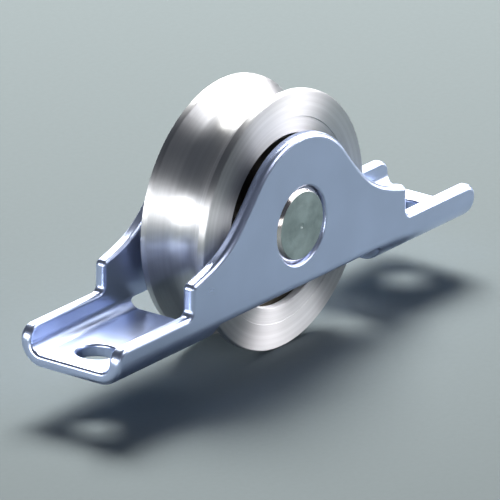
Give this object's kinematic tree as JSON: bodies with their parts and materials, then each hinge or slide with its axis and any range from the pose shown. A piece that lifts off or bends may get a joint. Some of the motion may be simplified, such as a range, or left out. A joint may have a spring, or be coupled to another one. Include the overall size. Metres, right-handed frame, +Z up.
{
  "type": "sliding door roller",
  "caption": "Sliding door roller: a grooved steel wheel on a ball bearing, held by an axle between the cheeks of a pressed channel with a screw hole at each end.",
  "frame": {"origin": "level of the wheel's lowest point, straight under the axle, at the middle of the channel's width", "axes": "+X along the channel and the door, +Y across the channel, along the axle, +Z up towards the door"},
  "size_m": [0.112, 0.023, 0.05],
  "materials": {
    "pressed_sheet": "bright rolled stainless sheet with rounded edges",
    "turned_steel": "bright turned stainless with fine lines round the axis",
    "axle_steel": "matt faced bar end",
    "bearing_steel": "ground, with a dark film of grease on the faces",
    "cage_sheet": "pressed strip",
    "spring_steel": "dark oiled spring steel"
  },
  "bodies": {
    "frame": {"frame": "pressed_sheet", "axle": "axle_steel", "bearing_inner_ring": "bearing_steel", "spacer_front": "turned_steel", "spacer_back": "turned_steel"},
    "wheel": {"wheel": "turned_steel", "bearing_outer_ring": "bearing_steel", "shield_front": "bearing_steel", "shield_back": "bearing_steel", "retaining_ring": "spring_steel"},
    "cage": {"cage_front": "cage_sheet", "cage_back": "cage_sheet", "cage_rivet_1": "cage_sheet", "cage_rivet_2": "cage_sheet", "cage_rivet_3": "cage_sheet", "cage_rivet_4": "cage_sheet", "cage_rivet_5": "cage_sheet", "cage_rivet_6": "cage_sheet", "cage_rivet_7": "cage_sheet", "cage_rivet_8": "cage_sheet"},
    "ball_1": {"ball_1": "bearing_steel"},
    "ball_2": {"ball_2": "bearing_steel"},
    "ball_3": {"ball_3": "bearing_steel"},
    "ball_4": {"ball_4": "bearing_steel"},
    "ball_5": {"ball_5": "bearing_steel"},
    "ball_6": {"ball_6": "bearing_steel"},
    "ball_7": {"ball_7": "bearing_steel"},
    "ball_8": {"ball_8": "bearing_steel"}
  },
  "joints": [
    {"name": "wheel_spin", "type": "hinge", "parent": "frame", "child": "wheel", "pos_m": [0, 0, 0.025], "axis": [0, 1, 0], "continuous": true},
    {"name": "cage_orbit", "type": "hinge", "parent": "frame", "child": "cage", "pos_m": [0, 0, 0.025], "axis": [0, 1, 0], "continuous": true},
    {"name": "ball_1_spin", "type": "hinge", "parent": "cage", "child": "ball_1", "pos_m": [0, 0, 0.0375], "axis": [0, 1, 0], "continuous": true},
    {"name": "ball_2_spin", "type": "hinge", "parent": "cage", "child": "ball_2", "pos_m": [-0.00884, 0, 0.03384], "axis": [0, 1, 0], "continuous": true},
    {"name": "ball_3_spin", "type": "hinge", "parent": "cage", "child": "ball_3", "pos_m": [-0.0125, 0, 0.025], "axis": [0, 1, 0], "continuous": true},
    {"name": "ball_4_spin", "type": "hinge", "parent": "cage", "child": "ball_4", "pos_m": [-0.00884, 0, 0.01616], "axis": [0, 1, 0], "continuous": true},
    {"name": "ball_5_spin", "type": "hinge", "parent": "cage", "child": "ball_5", "pos_m": [0, 0, 0.0125], "axis": [0, 1, 0], "continuous": true},
    {"name": "ball_6_spin", "type": "hinge", "parent": "cage", "child": "ball_6", "pos_m": [0.00884, 0, 0.01616], "axis": [0, 1, 0], "continuous": true},
    {"name": "ball_7_spin", "type": "hinge", "parent": "cage", "child": "ball_7", "pos_m": [0.0125, 0, 0.025], "axis": [0, 1, 0], "continuous": true},
    {"name": "ball_8_spin", "type": "hinge", "parent": "cage", "child": "ball_8", "pos_m": [0.00884, 0, 0.03384], "axis": [0, 1, 0], "continuous": true}
  ],
  "couplings": [
    {"joint": "cage_orbit", "follows": "wheel_spin", "ratio": 0.619},
    {"joint": "ball_1_spin", "follows": "wheel_spin", "ratio": 1.9818},
    {"joint": "ball_2_spin", "follows": "wheel_spin", "ratio": 1.9818},
    {"joint": "ball_3_spin", "follows": "wheel_spin", "ratio": 1.9818},
    {"joint": "ball_4_spin", "follows": "wheel_spin", "ratio": 1.9818},
    {"joint": "ball_5_spin", "follows": "wheel_spin", "ratio": 1.9818},
    {"joint": "ball_6_spin", "follows": "wheel_spin", "ratio": 1.9818},
    {"joint": "ball_7_spin", "follows": "wheel_spin", "ratio": 1.9818},
    {"joint": "ball_8_spin", "follows": "wheel_spin", "ratio": 1.9818}
  ]
}
